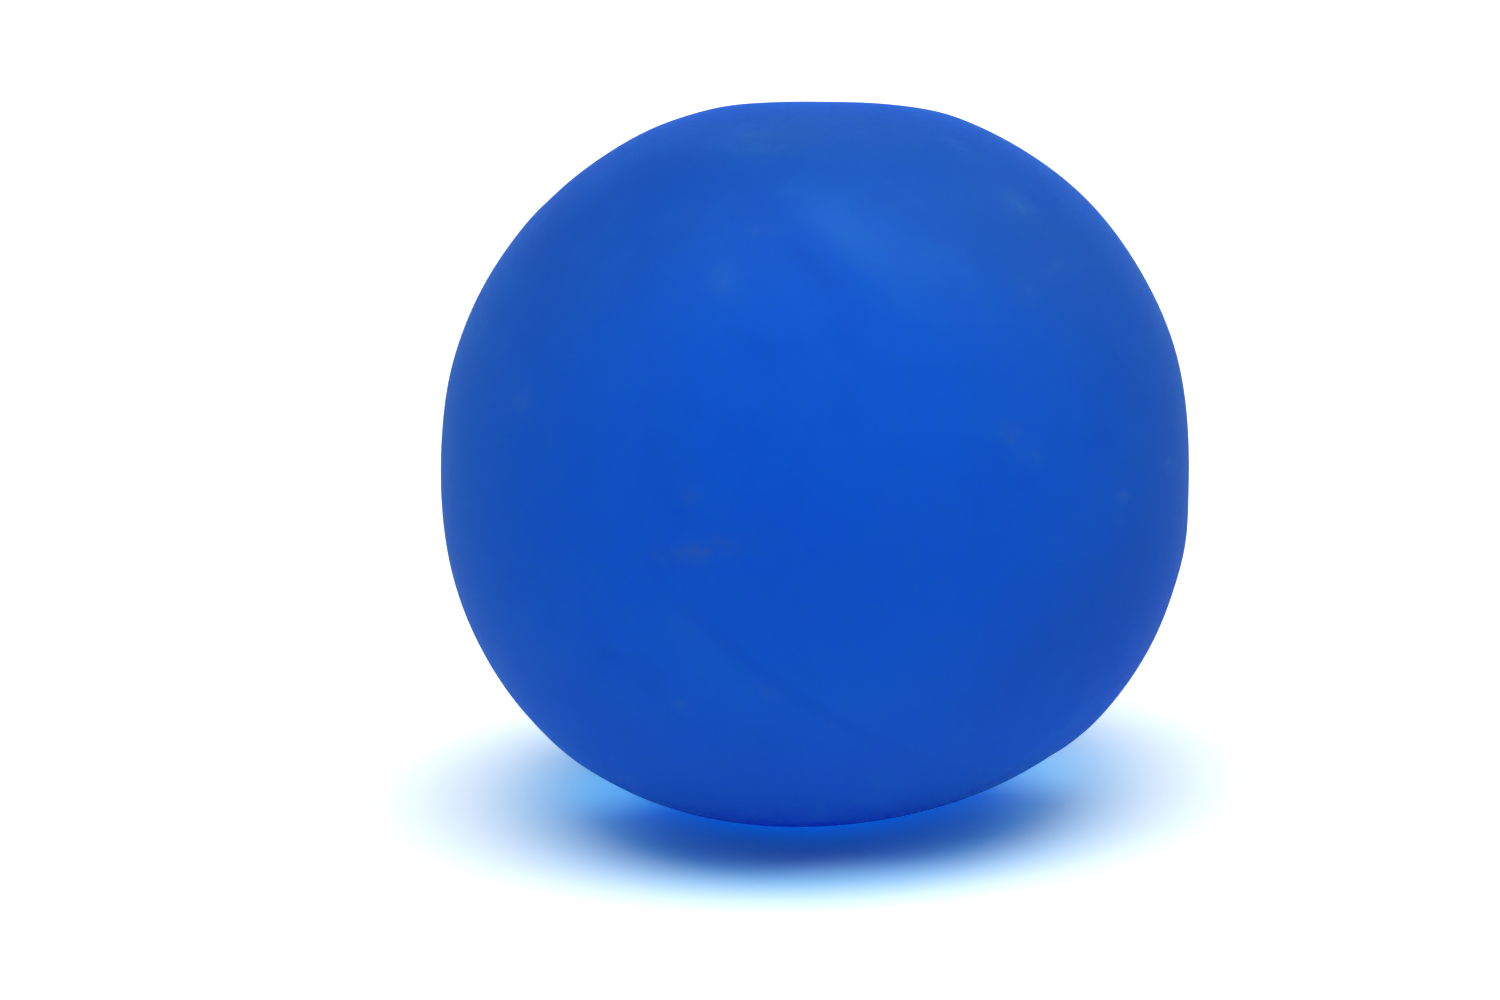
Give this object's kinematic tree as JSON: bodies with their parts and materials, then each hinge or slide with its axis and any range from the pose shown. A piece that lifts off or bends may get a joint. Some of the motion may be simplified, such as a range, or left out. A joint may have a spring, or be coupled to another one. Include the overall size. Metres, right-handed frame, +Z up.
{
  "type": "hand exercise ball",
  "caption": "Soft round squeeze ball for hand exercise, pressed slightly flat on top, sides and base, with a moulded rubber skin, a gel core and a flush fill plug.",
  "frame": {"origin": "on the flat that the ball rests on, under the ball's centre", "axes": "+Z up; seen from the front along +Y, with +X to the right"},
  "size_m": [0.0492, 0.05, 0.0458],
  "materials": {
    "skin": "matte frosted translucent blue rubber with a fine parting line",
    "gel": "cloudy translucent blue gel",
    "plug": "matte blue rubber, slightly darker than the skin"
  },
  "bodies": {
    "root": {"skin": "skin", "gel_core": "gel", "fill_plug": "plug"}
  },
  "joints": []
}
